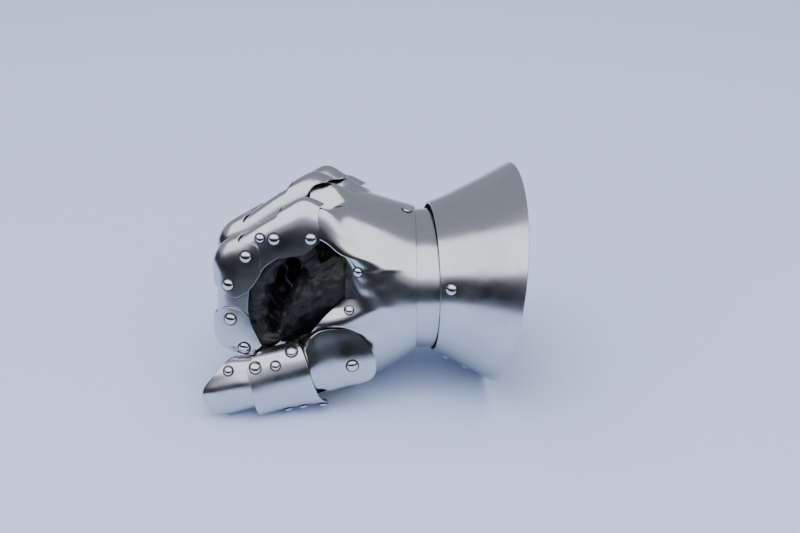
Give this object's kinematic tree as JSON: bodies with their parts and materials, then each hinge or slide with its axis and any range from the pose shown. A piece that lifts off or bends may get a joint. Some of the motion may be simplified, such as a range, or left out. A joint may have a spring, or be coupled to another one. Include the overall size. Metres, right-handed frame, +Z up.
{
  "type": "armoured gauntlet",
  "caption": "Right-hand plate gauntlet in a loose fist: flared cuff, wrist lame, ridged hand plate, overlapping finger and thumb plates riveted over a slack black leather glove.",
  "frame": {"origin": "middle of the base of the bounding box, on the surface the gauntlet lies on", "axes": "+X from the fingers towards the cuff, along the longest extent; +Y from the thumb side towards the little finger; +Z up"},
  "size_m": [0.2276, 0.159, 0.159],
  "materials": {
    "steel": "mirror-polished sheet steel, slightly uneven from the hammer",
    "rivet_steel": "polished domed rivets",
    "leather": "soft black glove leather, satin"
  },
  "bodies": {
    "hand": {"wrist_lame": "steel", "hand_plate": "steel", "thumb_base_plate": "steel", "thumb_middle_plate": "steel", "thumb_tip_plate": "steel", "index_knuckle_plate": "steel", "index_first_lame": "steel", "index_joint_plate": "steel", "index_second_lame": "steel", "index_tip_plate": "steel", "middle_knuckle_plate": "steel", "middle_first_lame": "steel", "middle_joint_plate": "steel", "middle_second_lame": "steel", "middle_tip_plate": "steel", "ring_knuckle_plate": "steel", "ring_first_lame": "steel", "ring_joint_plate": "steel", "ring_second_lame": "steel", "ring_tip_plate": "steel", "little_knuckle_plate": "steel", "little_first_lame": "steel", "little_joint_plate": "steel", "little_second_lame": "steel", "little_tip_plate": "steel", "glove": "leather", "rivet_wrist_top": "rivet_steel", "rivet_wrist_bottom": "rivet_steel", "rivet_opening_upper": "rivet_steel", "rivet_opening_lower": "rivet_steel", "rivet_index_knuckle_rear": "rivet_steel", "rivet_index_knuckle_front": "rivet_steel", "rivet_index_joint_rear": "rivet_steel", "rivet_index_joint_front": "rivet_steel", "rivet_index_tip_rear": "rivet_steel", "rivet_index_tip_front": "rivet_steel", "rivet_little_knuckle_rear": "rivet_steel", "rivet_little_knuckle_front": "rivet_steel", "rivet_little_joint_rear": "rivet_steel", "rivet_little_joint_front": "rivet_steel", "rivet_little_tip_rear": "rivet_steel", "rivet_little_tip_front": "rivet_steel", "rivet_index_first_lame": "rivet_steel", "rivet_thumb_root": "rivet_steel", "rivet_thumb_upper_rear": "rivet_steel", "rivet_thumb_upper_middle": "rivet_steel", "rivet_thumb_upper_front": "rivet_steel", "rivet_thumb_lower_front": "rivet_steel", "rivet_thumb_lower_middle": "rivet_steel", "rivet_thumb_lower_rear": "rivet_steel", "rivet_thumb_tip": "rivet_steel"},
    "cuff": {"cuff": "steel", "rivet_cuff_pivot_thumb_side": "rivet_steel", "rivet_cuff_pivot_far_side": "rivet_steel", "rivet_cuff_seam_front": "rivet_steel", "rivet_cuff_seam_rear": "rivet_steel"}
  },
  "joints": [
    {"name": "wrist_pivot", "type": "hinge", "parent": "hand", "child": "cuff", "pos_m": [0.0547, 0.00169, 0.08596], "axis": [-0.1136, 0.979, -0.1692], "range_deg": [-8, 7.5]}
  ]
}
